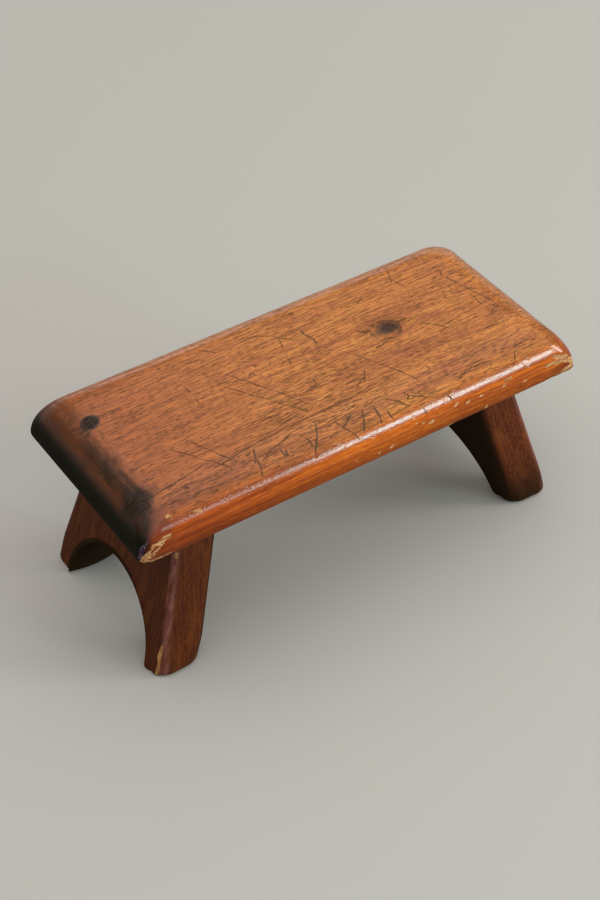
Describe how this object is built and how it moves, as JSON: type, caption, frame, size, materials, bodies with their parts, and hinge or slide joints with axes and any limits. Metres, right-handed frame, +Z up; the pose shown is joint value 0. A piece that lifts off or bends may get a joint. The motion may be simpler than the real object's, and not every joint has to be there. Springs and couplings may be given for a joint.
{
  "type": "shoe fitting stool",
  "caption": "Low wooden stool: a thick rectangular seat board with rounded top edges on splayed end boards, each cut out in a round arch so that it stands on feet.",
  "frame": {"origin": "on the floor, under the middle of the seat", "axes": "+X along the seat's length, to the right as the front is faced; +Y across the seat, from front to back; +Z up"},
  "size_m": [0.41, 0.184, 0.1755],
  "materials": {
    "seat_wood": "glossy aged varnish over orange-brown pine, scratched and worn",
    "leg_wood": "glossy aged varnish over red-brown pine, worn at the feet",
    "dowel_wood": "bare hardwood"
  },
  "bodies": {
    "root": {"seat_board": "seat_wood", "leg_board_left": "leg_wood", "leg_board_right": "leg_wood", "dowel_left_1": "dowel_wood", "dowel_left_2": "dowel_wood", "dowel_left_3": "dowel_wood", "dowel_left_4": "dowel_wood", "dowel_right_1": "dowel_wood", "dowel_right_2": "dowel_wood", "dowel_right_3": "dowel_wood", "dowel_right_4": "dowel_wood"}
  },
  "joints": []
}
